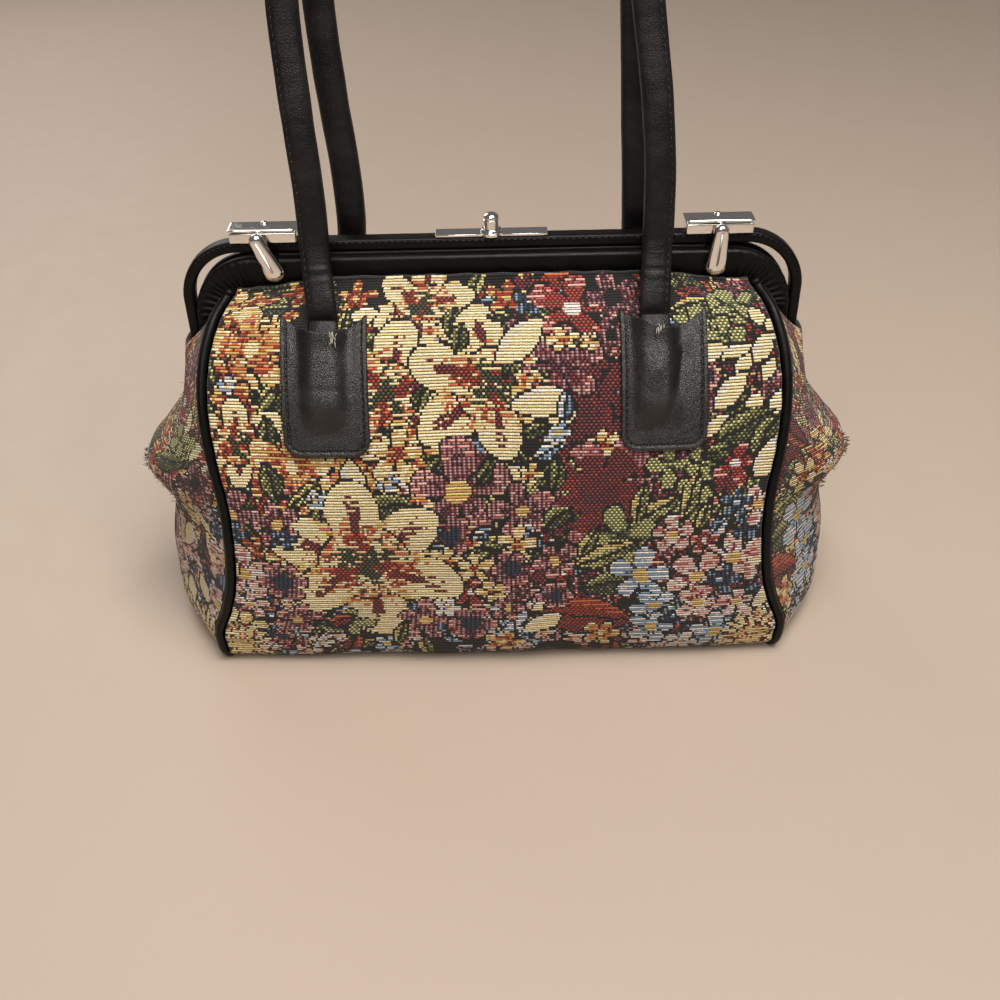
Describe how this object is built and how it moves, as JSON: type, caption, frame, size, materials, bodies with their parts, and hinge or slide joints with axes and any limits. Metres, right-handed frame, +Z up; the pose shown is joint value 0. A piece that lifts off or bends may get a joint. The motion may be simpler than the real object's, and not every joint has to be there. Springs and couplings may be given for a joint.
{
  "type": "tapestry satchel",
  "caption": "Framed handbag of woven flower tapestry with black leather facings, piping and loop handles, side levers and a push lock.",
  "frame": {"origin": "on the floor under the middle of the base", "axes": "+Z up, -Y out of the front, +X to the right as seen from the front"},
  "size_m": [0.3626, 0.1416, 0.4215],
  "materials": {
    "tapestry": "jacquard weave of flowers in cream, rust, red, plum and olive on black, with raised cross ribs",
    "leather": "soft black leather with a fine grain and a low sheen",
    "chrome": "polished chrome plate"
  },
  "bodies": {
    "bag": {"front_panel": "tapestry", "back_panel": "tapestry", "gusset_right": "tapestry", "gusset_left": "tapestry", "base_panel": "tapestry", "piping_right": "leather", "piping_left": "leather", "frame_hoop": "leather", "front_facing": "leather", "back_facing": "leather", "handle_front": "leather", "handle_back": "leather", "handle_tab_front_left": "leather", "handle_tab_front_right": "leather", "handle_tab_back_left": "leather", "handle_tab_back_right": "leather", "clasp_base_left": "chrome", "clasp_cover_left": "chrome", "clasp_base_right": "chrome", "clasp_cover_right": "chrome", "lock_plate": "chrome"},
    "lever_left": {"clasp_lever_left": "chrome"},
    "lever_right": {"clasp_lever_right": "chrome"},
    "button": {"lock_button": "chrome"}
  },
  "joints": [
    {"name": "lever_left_turn", "type": "hinge", "parent": "bag", "child": "lever_left", "pos_m": [-0.1074, -0.0076, 0.2108], "axis": [0, 1, 0], "range_deg": [-20, 118]},
    {"name": "lever_right_turn", "type": "hinge", "parent": "bag", "child": "lever_right", "pos_m": [0.1052, -0.0076, 0.2108], "axis": [0, 1, 0], "range_deg": [-100, 40]},
    {"name": "lock_press", "type": "slide", "parent": "bag", "child": "button", "axis": [0, 0, -1], "range_m": [0, 0.002], "stiffness_N_per_m": 400}
  ]
}
